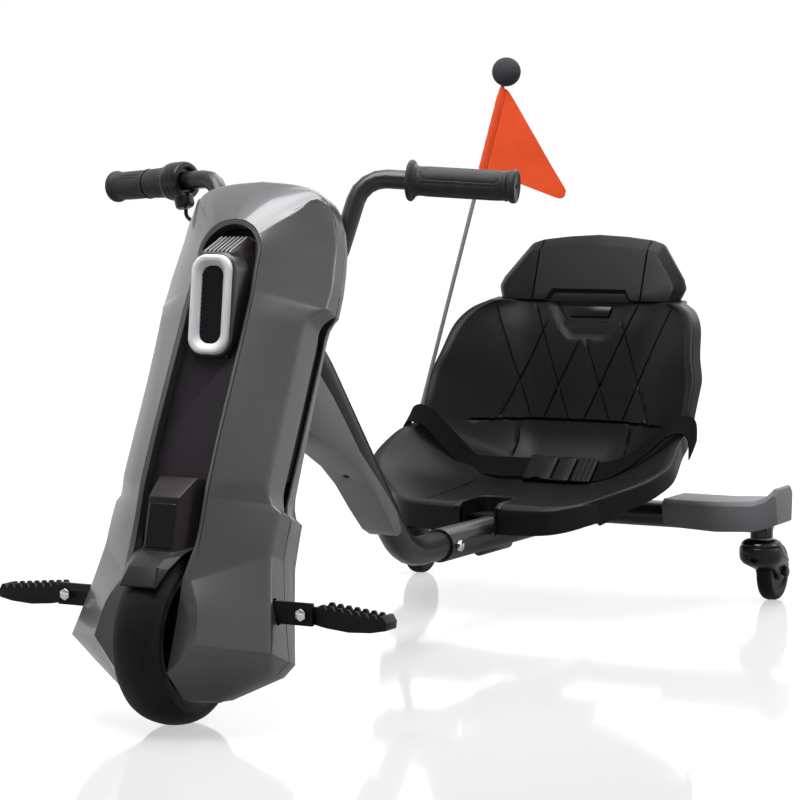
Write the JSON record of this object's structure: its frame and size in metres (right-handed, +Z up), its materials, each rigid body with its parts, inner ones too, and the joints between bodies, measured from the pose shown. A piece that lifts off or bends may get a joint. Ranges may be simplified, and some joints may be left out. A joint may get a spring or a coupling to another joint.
{
  "type": "electric drift kart",
  "caption": "Low electric kart: a raked fairing steers one driven front wheel, and a bucket seat rides on a tube frame with swivelling rear casters.",
  "frame": {"origin": "on the ground, in the middle of the kart's length and width", "axes": "+Z up, the kart faces -Y, +X is the rider's left"},
  "size_m": [0.634, 1.2734, 0.7845],
  "materials": {
    "gunmetal": "glossy metallic-grey moulded plastic",
    "gunmetal_cover": "satin grey moulded plastic",
    "satin_black": "satin black plastic",
    "seat_black": "fine-grained satin black plastic",
    "frame_black": "black powder coat",
    "tyre_black": "matt black rubber",
    "peg_black": "matt black",
    "grip_rubber": "matt dark grey rubber",
    "webbing": "woven black webbing",
    "chrome": "bright chrome",
    "steel": "zinc-plated steel",
    "silver": "silver-white gloss plastic",
    "mesh_black": "black honeycomb grille",
    "flag_orange": "orange cloth",
    "foam": "dark grey foam",
    "pole_grey": "grey glass-fibre rod",
    "battery_black": "black shrink-wrapped case",
    "controller_grey": "bare aluminium case"
  },
  "bodies": {
    "rear_frame": {"rear_frame": "frame_black", "lock_bolt": "steel", "seat_shell": "seat_black", "seat_badge": "satin_black", "belt_left": "webbing", "belt_right": "webbing", "buckle_socket": "satin_black", "buckle_tongue": "satin_black", "belt_slider": "satin_black", "flag_socket": "satin_black", "flag_pole": "pole_grey", "flag": "flag_orange", "flag_ball": "foam", "beam_cover_left": "gunmetal_cover", "beam_cover_right": "gunmetal_cover", "caster_left_race": "chrome", "caster_right_race": "chrome", "caster_left_pin": "steel", "caster_right_pin": "steel"},
    "front_frame": {"front_frame": "frame_black", "headset_cup_lower": "steel", "headset_cup_upper": "steel", "tube_cover": "gunmetal_cover"},
    "steering": {"fork": "frame_black", "steerer_nut": "steel", "stem": "satin_black", "handlebar": "frame_black", "left_grip": "grip_rubber", "right_grip": "grip_rubber", "throttle_housing": "satin_black", "throttle_cable": "peg_black", "front_fairing": "gunmetal", "rear_fairing": "gunmetal", "channel_panel": "satin_black", "lamp_ring": "silver", "lamp_mesh": "mesh_black", "nose_cover": "satin_black", "battery_pack": "battery_black", "controller": "controller_grey", "fairing_band_left": "satin_black", "fairing_band_right": "satin_black", "axle": "steel", "axle_nut_left": "steel", "axle_nut_right": "steel", "peg_bracket_left": "satin_black", "peg_bracket_right": "satin_black", "peg_bolt_left": "steel", "peg_bolt_right": "steel"},
    "front_wheel": {"front_tyre": "tyre_black", "hub_motor": "satin_black"},
    "foot_peg_left": {"foot_peg_left": "peg_black"},
    "foot_peg_right": {"foot_peg_right": "peg_black"},
    "twist_sleeve": {"twist_sleeve": "grip_rubber"},
    "power_button": {"power_button": "satin_black"},
    "caster_left_fork": {"caster_left_fork": "satin_black", "caster_left_axle": "satin_black"},
    "caster_left_wheel": {"caster_left_wheel": "tyre_black"},
    "caster_right_fork": {"caster_right_fork": "satin_black", "caster_right_axle": "satin_black"},
    "caster_right_wheel": {"caster_right_wheel": "tyre_black"}
  },
  "joints": [
    {"name": "frame_length", "type": "slide", "parent": "rear_frame", "child": "front_frame", "axis": [0, -1, 0], "range_m": [0, 0.08]},
    {"name": "steering", "type": "hinge", "parent": "front_frame", "child": "steering", "pos_m": [0, -0.537, 0.1], "axis": [0, 0.3907, 0.9205], "range_deg": [-38, 38]},
    {"name": "front_wheel_spin", "type": "hinge", "parent": "steering", "child": "front_wheel", "pos_m": [0, -0.537, 0.1], "axis": [1, 0, 0], "continuous": true},
    {"name": "peg_left_fold", "type": "hinge", "parent": "steering", "child": "foot_peg_left", "pos_m": [0.154, -0.528, 0.133], "axis": [0, -1, 0], "range_deg": [0, 85]},
    {"name": "peg_right_fold", "type": "hinge", "parent": "steering", "child": "foot_peg_right", "pos_m": [-0.154, -0.528, 0.133], "axis": [0, 1, 0], "range_deg": [0, 85]},
    {"name": "throttle_twist", "type": "hinge", "parent": "steering", "child": "twist_sleeve", "pos_m": [-0.17944, -0.26899, 0.59857], "axis": [-0.9731, 0.223, -0.0578], "range_deg": [0, 70], "stiffness_Nm_per_rad": 0.12, "springref_deg": -17.19},
    {"name": "power_press", "type": "slide", "parent": "steering", "child": "power_button", "axis": [0, -0.9205, 0.3907], "range_m": [0, 0.002], "stiffness_N_per_m": 400, "springref_m": -0.001},
    {"name": "caster_left_swivel", "type": "hinge", "parent": "rear_frame", "child": "caster_left_fork", "pos_m": [0.285, 0.547, 0.084], "axis": [0, 0, 1], "continuous": true},
    {"name": "caster_left_roll", "type": "hinge", "parent": "caster_left_fork", "child": "caster_left_wheel", "pos_m": [0.285, 0.595, 0.042], "axis": [1, 0, 0], "continuous": true},
    {"name": "caster_right_swivel", "type": "hinge", "parent": "rear_frame", "child": "caster_right_fork", "pos_m": [-0.285, 0.547, 0.084], "axis": [0, 0, 1], "continuous": true},
    {"name": "caster_right_roll", "type": "hinge", "parent": "caster_right_fork", "child": "caster_right_wheel", "pos_m": [-0.285, 0.595, 0.042], "axis": [1, 0, 0], "continuous": true}
  ]
}
